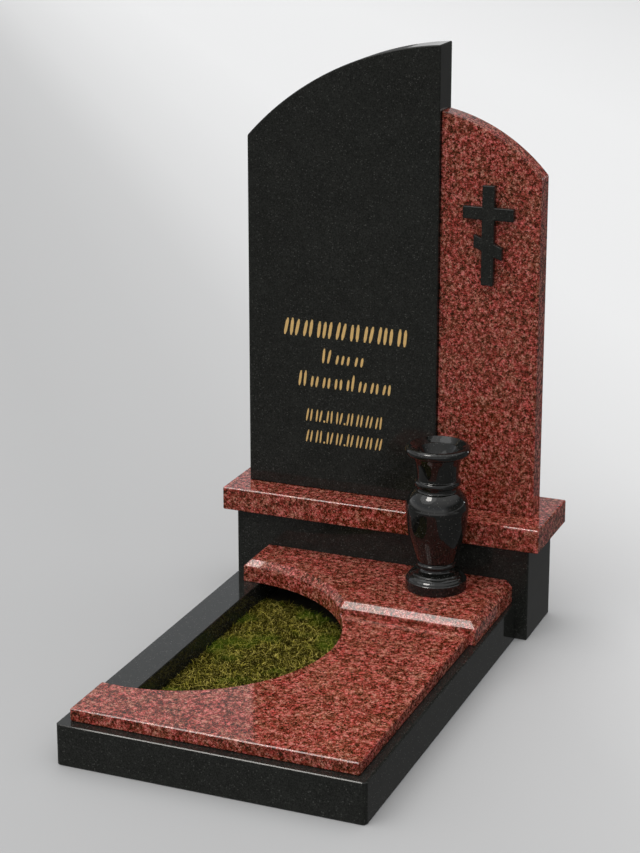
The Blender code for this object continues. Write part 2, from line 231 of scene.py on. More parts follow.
def apply_modifier(piece, modifier):
    begin()
    piece.select_set(True)
    bpy.context.view_layer.objects.active = piece
    bpy.ops.object.modifier_apply(modifier=modifier.name)


def join_on(piece, other):
    """Makes one body of two that pass through each other."""
    modifier = piece.modifiers.new("Join", "BOOLEAN")
    modifier.operation = "UNION"
    modifier.solver = "EXACT"
    modifier.object = other
    apply_modifier(piece, modifier)
    bpy.data.objects.remove(other, do_unlink=True)


def ease_edges(piece, width):
    """The flat polished facet that a mason leaves along every sharp edge."""
    modifier = piece.modifiers.new("Arris", "BEVEL")
    modifier.width = width
    modifier.segments = 1
    modifier.limit_method = "ANGLE"
    modifier.angle_limit = EDGE_FOLD
    apply_modifier(piece, modifier)


def shade(piece, fold):
    """Smooth across folds below the given angle in degrees, sharp across the others."""
    begin()
    piece.select_set(True)
    bpy.context.view_layer.objects.active = piece
    bpy.ops.object.shade_smooth_by_angle(angle=math.radians(fold))


def keep_flats(piece):
    """Lets the large flat faces set the normals where they meet an arc, so that they mirror evenly."""
    shade(piece, ARC_FOLD)
    modifier = piece.modifiers.new("Flats", "WEIGHTED_NORMAL")
    modifier.keep_sharp = True
    apply_modifier(piece, modifier)


def settle(piece, material, slot, *nodes):
    """Gives a finished piece its material and ties it to the frame."""
    piece.data.materials.clear()
    piece.data.materials.append(material)
    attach(piece, "root")
    if nodes:
        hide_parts(*nodes)
    return piece


def arc_over(left, right, radius, steps):
    """Points on the arc that bulges up from left to right, as (across, up) pairs with both ends."""
    left = Vector(left)
    right = Vector(right)
    chord = right - left
    drop = math.sqrt(radius ** 2 - (chord.length / 2) ** 2)
    centre = (left + right) / 2 + Vector((chord.y, -chord.x)).normalized() * drop
    first = math.atan2(left.y - centre.y, left.x - centre.x)
    last = math.atan2(right.y - centre.y, right.x - centre.x)
    angles = [first + (last - first) * i / steps for i in range(steps + 1)]
    return [(centre.x + radius * math.cos(a), centre.y + radius * math.sin(a)) for a in angles]


def smooth_through(stations, steps):
    """Points of a smooth curve through (radius, height) stations."""
    points = [Vector(s) for s in stations]
    ends = [2 * points[0] - points[1]] + points + [2 * points[-1] - points[-2]]
    out = []
    for before, start, end, after in zip(ends, ends[1:], ends[2:], ends[3:]):
        for k in range(steps):
            t = k / steps
            out.append(0.5 * (2 * start + (end - before) * t
                              + (2 * before - 5 * start + 4 * end - after) * t ** 2
                              + (3 * start - before - 3 * end + after) * t ** 3))
    out.append(points[-1])
    return [tuple(p) for p in out]


# Materials

def add_node(material, kind, inputs=(), **settings):
    """Adds a node: settings are its own values, and each input is a value or another node's output."""
    node = material.node_tree.nodes.new(kind)
    for name, value in settings.items():
        setattr(node, name, value)
    for name, value in dict(inputs).items():
        if isinstance(value, bpy.types.NodeSocket):
            material.node_tree.links.new(value, node.inputs[name])
        else:
            node.inputs[name].default_value = value
    return node


def add_ramp(material, value, stops):
    """The colour of a ramp over (place, colour) stops."""
    ramp = add_node(material, "ShaderNodeValToRGB", {"Fac": value})
    elements = ramp.color_ramp.elements
    while len(elements) > 1:
        elements.remove(elements[-1])
    elements[0].position = stops[0][0]
    elements[0].color = (*stops[0][1], 1.0)
    for place, colour in stops[1:]:
        elements.new(place).color = (*colour, 1.0)
    return ramp.outputs["Color"]


def add_product(material, first, second):
    """One colour multiplied by another."""
    product = add_node(material, "ShaderNodeMix", {"Factor": 1.0, "A": first, "B": second},
                       data_type="RGBA", blend_type="MULTIPLY")
    return product.outputs["Result"]


def start_material(name):
    """The material of that name and, only when it is new and still to be made, its shader."""
    material = bpy.data.materials.get(name)
    if material:
        return material, None
    material = bpy.data.materials.new(name)
    material.use_nodes = True
    return material, material.node_tree.nodes["Principled BSDF"]


def black_granite(name="polished_black_granite", lightness=1.0, mirror=0.26, roughness=0.055):
    """Gabbro, sawn, ground and polished to a mirror: near black, with fine grey feldspar flecks."""
    material, shader = start_material(name)
    if shader is None:
        return material
    finish = bpy.context.scene.headstone_finish
    place = add_node(material, "ShaderNodeTexCoord").outputs["Object"]
    # Flecks are about 1 mm in the stone and drawn 3 mm apart, the finest that a render shows
    cells = add_node(material, "ShaderNodeTexVoronoi", {"Vector": place, "Scale": 330.0})
    draw = add_node(material, "ShaderNodeSeparateColor", {"Color": cells.outputs["Color"]})
    # One cell in five holds a fleck, and the flecks differ in strength
    chosen = add_ramp(material, draw.outputs["Red"], [(0.80, grey(0.0)), (1.0, grey(1.0))])
    core = add_ramp(material, cells.outputs["Distance"], [(0.15, grey(1.0)), (0.50, grey(0.0))])
    fleck = add_product(material, chosen, core)
    # Clouds of slightly lighter stone, from 40 mm down to 1 mm, keep a large face from looking like plastic
    cloud = add_node(material, "ShaderNodeTexNoise",
                     {"Vector": place, "Scale": 25.0, "Detail": 6.0, "Roughness": 0.7})
    ground = add_ramp(material, cloud.outputs["Fac"],
                      [(0.35, finish.black_stone), (0.65, finish.black_cloud)])
    # The crystals between the flecks, 2 to 3 mm, differ in darkness
    crystals = add_node(material, "ShaderNodeTexNoise", {"Vector": place, "Scale": 420.0, "Detail": 1.0})
    depth = add_ramp(material, crystals.outputs["Fac"], [
        (0.35, grey(0.60 * lightness)), (0.65, grey(1.40 * lightness))])
    ground = add_product(material, ground, depth)
    colour = add_node(material, "ShaderNodeMix",
                      {"Factor": fleck, "A": ground, "B": (*finish.black_fleck, 1.0)}, data_type="RGBA")
    material.node_tree.links.new(colour.outputs["Result"], shader.inputs["Base Color"])
    shader.inputs["Roughness"].default_value = roughness
    shader.inputs["IOR"].default_value = 1.5
    shader.inputs["Specular IOR Level"].default_value = mirror
    return material


def turned_black_granite():
    """The same gabbro off the lathe, buffed with wax: blacker than the flat stones, with harder glints."""
    return black_granite("turned_black_granite", lightness=0.40, mirror=0.48, roughness=0.040)


def red_granite():
    """Red granite, polished: feldspar grains from crimson to salmon, 2 to 5 mm across, and dark mica."""
    material, shader = start_material("polished_red_granite")
    if shader is None:
        return material
    finish = bpy.context.scene.headstone_finish
    place = add_node(material, "ShaderNodeTexCoord").outputs["Object"]
    # Shifting each point by up to 2 mm or so breaks the straight sides of the cells into grain edges
    wander = add_node(material, "ShaderNodeTexNoise", {"Vector": place, "Scale": 330.0, "Detail": 3.0})
    offset = add_node(material, "ShaderNodeVectorMath",
                      {0: wander.outputs["Color"], 1: (0.5, 0.5, 0.5)}, operation="SUBTRACT")
    reach = add_node(material, "ShaderNodeVectorMath", {0: offset.outputs["Vector"], "Scale": 0.009},
                     operation="SCALE")
    shifted = add_node(material, "ShaderNodeVectorMath", {0: place, 1: reach.outputs["Vector"]},
                       operation="ADD").outputs["Vector"]
    # Grains of 4 mm, crumbs of 2 mm and loose chains 10 mm wide together decide how dark a spot is
    grains = add_node(material, "ShaderNodeTexVoronoi", {"Vector": shifted, "Scale": 240.0})
    kinds = add_node(material, "ShaderNodeSeparateColor", {"Color": grains.outputs["Color"]})
    crumbs = add_node(material, "ShaderNodeTexVoronoi", {"Vector": shifted, "Scale": 480.0})
    small_kinds = add_node(material, "ShaderNodeSeparateColor", {"Color": crumbs.outputs["Color"]})
    chains = add_node(material, "ShaderNodeTexNoise", {"Vector": place, "Scale": 100.0, "Detail": 2.0})
    tone = add_node(material, "ShaderNodeMath", {
        0: kinds.outputs["Red"], 1: 0.32, 2: chains.outputs["Fac"]}, operation="MULTIPLY_ADD")
    tone = add_node(material, "ShaderNodeMath", {
        0: small_kinds.outputs["Green"], 1: 0.62, 2: tone.outputs["Value"]}, operation="MULTIPLY_ADD")
    tone = add_node(material, "ShaderNodeMapRange", {
        "Value": tone.outputs["Value"], "From Min": 0.52, "From Max": 1.44}).outputs["Result"]
    reds = add_ramp(material, tone, [
        (0.20, finish.red_mica), (0.31, finish.red_dark), (0.41, finish.red_deep), (0.50, finish.red_plain),
        (0.60, finish.red_bright), (0.70, finish.red_salmon), (0.86, finish.red_pale)])
    # Each grain leans to a purer or a browner red, and iron stains 30 mm across brown whole patches
    stain = add_node(material, "ShaderNodeTexNoise", {"Vector": place, "Scale": 34.0, "Detail": 3.0})
    lean = add_node(material, "ShaderNodeMath", {
        0: kinds.outputs["Blue"], 1: 0.55, 2: stain.outputs["Fac"]}, operation="MULTIPLY_ADD")
    hues = add_ramp(material, lean.outputs["Value"], [
        (0.50, (1.16, 0.76, 0.84)), (0.75, (1.0, 0.97, 0.97)), (0.98, (0.88, 1.10, 0.92))])
    material.node_tree.links.new(add_product(material, reds, hues), shader.inputs["Base Color"])
    # Mica polishes a little less than feldspar
    roughness = add_ramp(material, tone, [(0.25, grey(0.10)), (0.45, grey(0.06))])
    material.node_tree.links.new(roughness, shader.inputs["Roughness"])
    shader.inputs["IOR"].default_value = 1.5
    shader.inputs["Specular IOR Level"].default_value = 0.26
    return material


def gilding():
    """Gold paint brushed onto stone: warm and mostly matt, with a little metal that glints unevenly."""
    material, shader = start_material("gold_paint")
    if shader is None:
        return material
    finish = bpy.context.scene.headstone_finish
    place = add_node(material, "ShaderNodeTexCoord").outputs["Object"]
    # The coat is thinner and darker in patches 6 mm across, and its brush marks are 0.7 mm
    patches = add_node(material, "ShaderNodeTexNoise", {"Vector": place, "Scale": 180.0, "Detail": 3.0})
    colour = add_ramp(material, patches.outputs["Fac"],
                      [(0.3, [0.90 * c for c in finish.gilding]), (0.7, finish.gilding)])
    material.node_tree.links.new(colour, shader.inputs["Base Color"])
    wrinkles = add_node(material, "ShaderNodeTexNoise", {"Vector": place, "Scale": 1400.0, "Detail": 2.0})
    bump = add_node(material, "ShaderNodeBump",
                    {"Height": wrinkles.outputs["Fac"], "Strength": 0.5, "Distance": 0.0003})
    material.node_tree.links.new(bump.outputs["Normal"], shader.inputs["Normal"])
    shader.inputs["Metallic"].default_value = 0.08
    shader.inputs["Roughness"].default_value = 0.42
    return material


def soil():
    """Damp garden soil with moss: crumbly and dark, seen only between the blades."""
    material, shader = start_material("mossy_soil")
    if shader is None:
        return material
    finish = bpy.context.scene.headstone_finish
    place = add_node(material, "ShaderNodeTexCoord").outputs["Object"]
    # Crumbs of 6 mm and smaller
    crumbs = add_node(material, "ShaderNodeTexNoise", {"Vector": place, "Scale": 160.0, "Detail": 8.0})
    colour = add_ramp(material, crumbs.outputs["Fac"],
                      [(0.35, finish.soil), (0.65, [0.5 * c for c in finish.grass_dark])])
    material.node_tree.links.new(colour, shader.inputs["Base Color"])
    bump = add_node(material, "ShaderNodeBump",
                    {"Height": crumbs.outputs["Fac"], "Strength": 0.9, "Distance": 0.004})
    material.node_tree.links.new(bump.outputs["Normal"], shader.inputs["Normal"])
    shader.inputs["Roughness"].default_value = 0.95
    return material


def grass():
    """Living turf: matt blades, olive to fresh green with some straw, darkened towards the root by painted
    shade and lightened towards the tip by painted light.
    """
    material, shader = start_material("short_turf")
    if shader is None:
        return material
    finish = bpy.context.scene.headstone_finish
    # The blades' own map holds a tint for each blade across, and the way from root to tip up
    blade = add_node(material, "ShaderNodeUVMap", uv_map="blade")
    tint_and_rise = add_node(material, "ShaderNodeSeparateXYZ", {"Vector": blade.outputs["UV"]})
    tint = add_ramp(material, tint_and_rise.outputs["X"], [
        (0.0, finish.grass_dark), (0.40, finish.grass_dark), (0.65, finish.grass_light),
        (0.90, finish.grass_straw), (1.0, finish.grass_light)])
    # Fresher growth lies in patches 80 mm across
    place = add_node(material, "ShaderNodeTexCoord").outputs["Object"]
    patches = add_node(material, "ShaderNodeTexNoise", {"Vector": place, "Scale": 12.0, "Detail": 2.0})
    fresh = add_ramp(material, patches.outputs["Fac"], [(0.50, grey(0.0)), (0.70, grey(0.6))])
    colour = add_node(material, "ShaderNodeMix",
                      {"Factor": fresh, "A": tint, "B": (*finish.grass_fresh, 1.0)}, data_type="RGBA")
    # Painted shade and light: each blade is darkened to about a third at its root, where the turf shades
    # itself, and lightened at its tip
    rise = add_ramp(material, tint_and_rise.outputs["Y"],
                    [(0.0, grey(0.35)), (0.6, grey(0.9)), (1.0, grey(1.25))])
    painted_shade_and_light = add_product(material, colour.outputs["Result"], rise)
    material.node_tree.links.new(painted_shade_and_light, shader.inputs["Base Color"])
    shader.inputs["Roughness"].default_value = 0.65
    shader.inputs["Specular IOR Level"].default_value = 0.05
    return material


# Pieces

class HEADSTONE_OT_kerb(bpy.types.Operator):
    """Lays the three kerb stones round the bed"""
    bl_idname = "headstone.kerb"
    bl_label = "Kerb"

    def execute(self, context):
        sizes = context.scene.headstone_sizes
        low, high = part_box("kerb_front")
        front = new_block("kerb_front_stone", low, high)
        pick(front, "EDGE", lambda e: (e.verts[0].co.y < low.y + GAP and e.verts[1].co.y < low.y + GAP
                                       and abs(e.verts[0].co.z - e.verts[1].co.z) > GAP))
        bpy.ops.mesh.bevel(offset=sizes.kerb_corner, segments=10, affect="EDGES")
        self.ease_free_edges(context, front, high.y)
        keep_flats(front)
        settle(front, black_granite(), "black_granite", "kerb_front")
        for side in ("left", "right"):
            low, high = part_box(f"kerb_{side}")
            stone = new_block(f"kerb_{side}_stone", low, high)
            self.ease_free_edges(context, stone, low.y)
            keep_flats(stone)
            settle(stone, black_granite(), "black_granite", f"kerb_{side}")
        return {"FINISHED"}

    def ease_free_edges(self, context, stone, joint_y):
        """Eases all sharp edges but those at the tight joint, which shows as a hairline only."""
        pick(stone, "EDGE", lambda e: (e.calc_face_angle(0.0) > EDGE_FOLD
                                       and not all(abs(v.co.y - joint_y) < GAP for v in e.verts)))
        bpy.ops.mesh.bevel(offset=context.scene.headstone_sizes.kerb_arris, segments=1, affect="EDGES")
        bpy.ops.object.mode_set(mode="OBJECT")


class HEADSTONE_OT_turf(bpy.types.Operator):
    """Fills the kerb with soil and lets grass grow in the planting opening"""
    bl_idname = "headstone.turf"
    bl_label = "Turf"

    # How far the soil's surface rises and falls, how deep a blade's root sits in it, and how far the grass
    # grows in under the rim of the opening
    UNEVEN = 0.0035
    ROOT_DEPTH = 0.002
    UNDER_RIM = 0.025

    # For each layer: share of the blades, share of their length, how far they stoop in radians, the range of
    # their tints, and what is added to the seed
    LAYERS = (
        # The undergrowth keeps to the dark olive tints: partly the blades' own colour, partly painted shade
        # for the shade low in the turf
        ("grass_undergrowth", 0.70, 0.75, 0.7, (0.0, 0.45), 1),
        ("grass_blades", 0.30, 1.0, 1.35, (0.40, 1.0), 2),
    )

    def execute(self, context):
        sizes = context.scene.headstone_sizes
        finish = context.scene.headstone_finish
        low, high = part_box("turf")
        ground = new_block("soil_bed", low, (high.x, high.y, sizes.soil_height))
        pick(ground, "FACE", lambda f: f.normal.z > 0.5)
        bpy.ops.mesh.subdivide(number_cuts=60)
        pick(ground, "VERT", lambda v: (v.co.z > sizes.soil_height - GAP
                                        and low.x + GAP < v.co.x < high.x - GAP
                                        and low.y + GAP < v.co.y < high.y - GAP))
        bpy.ops.transform.vertex_random(offset=self.UNEVEN, uniform=0.2, normal=0.8, seed=finish.seed)
        bpy.ops.object.mode_set(mode="OBJECT")
        shade(ground, 40)
        settle(ground, soil(), "turf", "turf")

        for name, share, reach, stoop, tints, more in self.LAYERS:
            count = int(share * finish.blades)
            blades = self.grow(context, name, count, reach, stoop, tints, finish.seed + more)
            settle(blades, grass(), "turf")
        return {"FINISHED"}

    def grow(self, context, name, count, reach, stoop, tints, seed):
        """Bent blades of three triangles each, too many and too thin to model one by one."""
        sizes = context.scene.headstone_sizes
        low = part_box("turf")[0]
        rng = np.random.default_rng(seed)
        radius = sizes.opening_radius + self.UNDER_RIM
        nearest = (low.x + 0.001, sizes.opening_y - radius)
        farthest = (sizes.opening_x + radius, sizes.opening_y + radius)
        tries = rng.uniform(nearest, farthest, (4 * count, 2))
        inside = np.hypot(tries[:, 0] - sizes.opening_x, tries[:, 1] - sizes.opening_y) < radius
        root = tries[inside][:count]
        count = len(root)
        length = reach * sizes.blade_length * rng.normal(1.0, 0.25, count).clip(0.45, 1.7)
        turn = rng.uniform(0, 2 * np.pi, count)
        lean = rng.normal(stoop, 0.30, count).clip(0.05, 1.5)
        curl = rng.normal(0.0, 0.35, count) * length
        width = sizes.blade_width * rng.uniform(0.6, 1.2, count)
        along = np.stack([np.cos(turn), np.sin(turn)], 1)
        across = np.stack([-np.sin(turn), np.cos(turn)], 1)
        base = np.column_stack([root, np.full(count, sizes.soil_height - self.ROOT_DEPTH)])
        # A blade rises to its bend at six tenths of its length and stoops beyond it
        middle = base + np.column_stack([along * (0.25 * length * np.sin(lean))[:, None],
                                         0.6 * length * np.cos(0.5 * lean)])
        tip_out = along * (0.9 * length * np.sin(lean))[:, None] + across * curl[:, None]
        tip_up = length * (0.6 * np.cos(0.5 * lean) + 0.4 * np.cos(1.5 * lean))
        tip = base + np.column_stack([tip_out, tip_up])
        side = np.column_stack([across * (width / 2)[:, None], np.zeros(count)])
        corners = np.stack([base - side, base + side, middle + 0.75 * side, middle - 0.75 * side, tip], 1)
        first = 5 * np.arange(count)[:, None]
        lower_faces = (first + [0, 1, 2, 3]).tolist()
        tip_faces = (first + [3, 2, 4]).tolist()
        mesh = bpy.data.meshes.new(name)
        mesh.from_pydata(corners.reshape(-1, 3).tolist(), [], lower_faces + tip_faces)
        tint = rng.uniform(*tints, count)
        rise = np.array([0.0, 0.0, 0.6, 0.6, 1.0])
        corner_of = np.empty(len(mesh.loops), np.int32)
        mesh.loops.foreach_get("vertex_index", corner_of)
        layer = mesh.uv_layers.new(name="blade")
        layer.data.foreach_set("uv", np.column_stack([tint[corner_of // 5], rise[corner_of % 5]]).ravel())
        blades = bpy.data.objects.new(name, mesh)
        context.scene.collection.objects.link(blades)
        return blades


class HEADSTONE_OT_ledgers(bpy.types.Operator):
    """Lays the thin and the thick ledger, both with the round planting opening in their outline"""
    bl_idname = "headstone.ledgers"
    bl_label = "Ledgers"

    # Steps of the opening's rim in each ledger, about a degree and a half each
    THIN_STEPS = 88
    THICK_STEPS = 40

    def execute(self, context):
        sizes = context.scene.headstone_sizes
        low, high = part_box("lower_ledger")
        behind = self.angle_at_y(sizes, high.y, 0.0)
        before = -self.angle_at_x(sizes, low.x, 0.0)
        arc = self.opening(sizes, 0.0, behind, before, self.THIN_STEPS)
        outline = [(low.x, low.y), (high.x, low.y), (high.x, high.y)] + arc
        lower = draw_stone("thin_ledger", [(x, y, low.z) for x, y in outline], (0.0, 0.0, high.z - low.z))
        ease_edges(lower, sizes.arris)
        keep_flats(lower)
        settle(lower, red_granite(), "red_granite", "lower_ledger")

        low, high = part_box("upper_ledger")
        foot = self.thick_outline(sizes, low, high, 0.0)
        top = self.thick_outline(sizes, low, high, sizes.chamfer)
        upper = draw_stone("thick_ledger", [(x, y, low.z) for x, y in foot],
                           (0.0, 0.0, high.z - sizes.chamfer - low.z))
        pick(upper, "FACE", lambda f: f.normal.z > 0.5)
        bpy.ops.mesh.extrude_region_move(TRANSFORM_OT_translate={"value": (0.0, 0.0, sizes.chamfer)})
        # The chamfer: each point of the top moves in to its place on the smaller outline
        mesh = bmesh.from_edit_mesh(upper.data)
        for vertex in mesh.verts:
            if vertex.co.z > high.z - GAP:
                nearest = min(zip(foot, top), key=lambda pair: (Vector(pair[0]) - vertex.co.xy).length)
                vertex.co.xy = nearest[1]
        bmesh.update_edit_mesh(upper.data)
        bpy.ops.mesh.select_all(action="SELECT")
        bpy.ops.mesh.normals_make_consistent(inside=False)
        bpy.ops.object.mode_set(mode="OBJECT")
        ease_edges(upper, sizes.fine_arris)
        keep_flats(upper)
        settle(upper, red_granite(), "red_granite", "upper_ledger")
        return {"FINISHED"}

    def thick_outline(self, sizes, low, high, inset):
        """The thick ledger from above, drawn in by an inset on all sides but the back."""
        left = low.x + inset
        right = high.x - inset
        front = low.y + inset
        first = self.angle_at_x(sizes, left, inset)
        last = self.angle_at_y(sizes, front, inset)
        arc = self.opening(sizes, inset, first, last, self.THICK_STEPS)
        return [(left, high.y)] + arc + [(right, front), (right, high.y)]

    def opening(self, sizes, inset, first, last, steps):
        """Points along the rim of the opening, widened by an inset, from one angle to another."""
        radius = sizes.opening_radius + inset
        angles = [first + (last - first) * i / steps for i in range(steps + 1)]
        return [(sizes.opening_x + radius * math.cos(a), sizes.opening_y + radius * math.sin(a))
                for a in angles]

    def angle_at_x(self, sizes, x, inset):
        """Where on the rim, widened by an inset, a point lies that far across."""
        return math.acos((x - sizes.opening_x) / (sizes.opening_radius + inset))

    def angle_at_y(self, sizes, y, inset):
        """Where on the rim, widened by an inset, a point lies that far along."""
        return math.asin((y - sizes.opening_y) / (sizes.opening_radius + inset))


class HEADSTONE_OT_plinth(bpy.types.Operator):
    """Sets the base block and the plinth slab on it"""
    bl_idname = "headstone.plinth"
    bl_label = "Base and plinth"

    def execute(self, context):
        sizes = context.scene.headstone_sizes
        for name, node, material in (("base_stone", "base_block", black_granite),
                                     ("plinth_stone", "plinth_slab", red_granite)):
            stone = new_block(name, *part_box(node))
            ease_edges(stone, sizes.arris)
            keep_flats(stone)
            settle(stone, material(), material.__name__, node)
        return {"FINISHED"}


class HEADSTONE_OT_steles(bpy.types.Operator):
    """Sets the tall black stele and the lower red stele, each with its arched top"""
    bl_idname = "headstone.steles"
    bl_label = "Steles"

    # Steps of each arched top
    ARC_STEPS = 56

    def execute(self, context):
        sizes = context.scene.headstone_sizes
        plinth_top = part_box("plinth_slab")[1].z
        low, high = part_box("black_stele")
        self.raise_stele(context, "tall_stele", "black_stele", black_granite, sizes.black_radius,
                         (low.x, plinth_top + sizes.black_left), (high.x, high.z))
        low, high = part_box("red_stele")
        self.raise_stele(context, "low_stele", "red_stele", red_granite, sizes.red_radius,
                         (low.x, high.z), (high.x, plinth_top + sizes.red_right))
        return {"FINISHED"}

    def raise_stele(self, context, name, node, material, radius, left, right):
        low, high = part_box(node)
        top = arc_over(left, right, radius, self.ARC_STEPS)
        # The arc stays within the solid's own height
        outline = [(high.x, low.z), (low.x, low.z)] + [(x, min(z, high.z)) for x, z in top]
        stone = draw_stone(name, [(x, low.y, z) for x, z in outline], (0.0, high.y - low.y, 0.0))
        ease_edges(stone, context.scene.headstone_sizes.arris)
        keep_flats(stone)
        settle(stone, material(), material.__name__, node)


class HEADSTONE_OT_inscription(bpy.types.Operator):
    """Gilds rows of shallow strokes on the black stele, where an inscription would be, that spell nothing"""
    bl_idname = "headstone.inscription"
    bl_label = "Gilded strokes"

    # Height of low strokes as a share of the row's height
    LOW = 0.66

    # Room that each mark takes along a row, as a share of the room of a stroke
    ROOM = {"T": 1.0, "l": 1.0, ".": 0.8, " ": 0.45}

    # How far the strokes slant, and how much that differs between them, in degrees
    SLANT = 9
    SLANT_DIFFERS = 4

    # The swollen middle of a stroke, as a share of its length on either side, and how wide its ends are
    SWELL = 0.28
    END_WIDTH = 0.45

    # For each row: left and right ends, foot above the plinth, height, width of a stroke, and its groups.
    # T is a tall stroke, l a low one, a dot a small mark at the foot, and a space a wider gap
    ROWS = (
        ("strokes_row_1", -0.2345, 0.0430, 0.3345, 0.0380, 0.0066, "TTT TT TTT TT TT TT TTT TT"),
        ("strokes_row_2", -0.1500, -0.0520, 0.2805, 0.0320, 0.0052, "TT lll ll"),
        ("strokes_row_3", -0.2025, 0.0085, 0.2260, 0.0360, 0.0052, "TT ll ll ll lT ll ll ll"),
        ("strokes_row_4", -0.1850, -0.0110, 0.1500, 0.0280, 0.0038, "TT TT.TT TT.TT TT TT TT"),
        ("strokes_row_5", -0.1850, -0.0110, 0.1035, 0.0280, 0.0038, "TT TT.TT TT.TT TT TT TT"),
    )

    def execute(self, context):
        rng = np.random.default_rng(context.scene.headstone_finish.seed)
        plinth_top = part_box("plinth_slab")[1].z
        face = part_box("black_stele")[0].y
        for name, left, right, foot, height, weight, groups in self.ROWS:
            pitch = (right - left) / sum(self.ROOM[mark] for mark in groups)
            strokes = []
            x = left
            for mark in groups:
                middle = x + self.ROOM[mark] * pitch / 2
                x += self.ROOM[mark] * pitch
                if mark == " ":
                    continue
                length = {"T": height, "l": self.LOW * height, ".": 1.2 * weight}[mark]
                length *= rng.uniform(0.92, 1.0)
                lean = 0.0
                if mark != ".":
                    lean = math.radians(self.SLANT + rng.uniform(-self.SLANT_DIFFERS, self.SLANT_DIFFERS))
                strokes.append((middle, plinth_top + foot + length / 2, length, lean))
            self.gild(context, name, strokes, weight, face)
        return {"FINISHED"}

    def gild(self, context, name, strokes, weight, face):
        relief = context.scene.headstone_sizes.stroke_relief
        master = new_block(name + "_master", (-weight / 2, -relief, -0.5), (weight / 2, 0.0, 0.5))
        # The stroke narrows to both ends and swells in its middle
        edit(master)
        bpy.ops.mesh.select_all(action="SELECT")
        bpy.ops.mesh.bisect(plane_co=(0, 0, self.SWELL), plane_no=(0, 0, 1))
        bpy.ops.mesh.select_all(action="SELECT")
        bpy.ops.mesh.bisect(plane_co=(0, 0, -self.SWELL), plane_no=(0, 0, 1))
        pick(master, "VERT", lambda v: abs(v.co.z) > 0.4)
        bpy.ops.transform.resize(value=(self.END_WIDTH, 1.0, 1.0))
        bpy.ops.object.mode_set(mode="OBJECT")
        copies = []
        for x, z, length, lean in strokes:
            copy = master.copy()
            copy.data = master.data.copy()
            context.scene.collection.objects.link(copy)
            copy.data.transform(Matrix.Translation((x, face, z)) @ Matrix.Rotation(lean, 4, "Y")
                                @ Matrix.Diagonal((1.0, 1.0, length, 1.0)))
            copies.append(copy)
        bpy.data.objects.remove(master, do_unlink=True)
        begin()
        for copy in copies:
            copy.select_set(True)
        context.view_layer.objects.active = copies[0]
        bpy.ops.object.join()
        row = name_new(name)
        shade(row, ARC_FOLD)
        settle(row, gilding(), "gilding")


class HEADSTONE_OT_cross(bpy.types.Operator):
    """Joins the upright, the straight arm and the slanted arm of the cross"""
    bl_idname = "headstone.cross"
    bl_label = "Cross"

    def execute(self, context):
        sizes = context.scene.headstone_sizes
        low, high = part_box("cross")
        middle = (low.x + high.x) / 2
        half = sizes.cross_bar / 2
        cross = new_block("cross_stone", (middle - half, low.y, low.z), (middle + half, high.y, high.z))

        arm_z = high.z - sizes.cross_arm_below_top
        arm = new_block("cross_arm", (low.x, low.y, arm_z - half), (high.x, high.y, arm_z + half))
        join_on(cross, arm)

        slant_z = high.z - sizes.cross_slant_below_top
        reach = sizes.cross_slant_span / 2
        slant = new_block("cross_slant", (middle - reach, low.y, slant_z - half),
                          (middle + reach, high.y, slant_z + half))
        drop = reach * math.tan(sizes.cross_slant_angle)
        for side in (-1, 1):
            pick(slant, "VERT", lambda v, side=side: (v.co.x - middle) * side > 0)
            bpy.ops.transform.translate(value=(0.0, 0.0, -side * drop))
        bpy.ops.object.mode_set(mode="OBJECT")
        join_on(cross, slant)
        ease_edges(cross, sizes.fine_arris)
        keep_flats(cross)
        settle(cross, black_granite(), "black_granite", "cross")
        return {"FINISHED"}


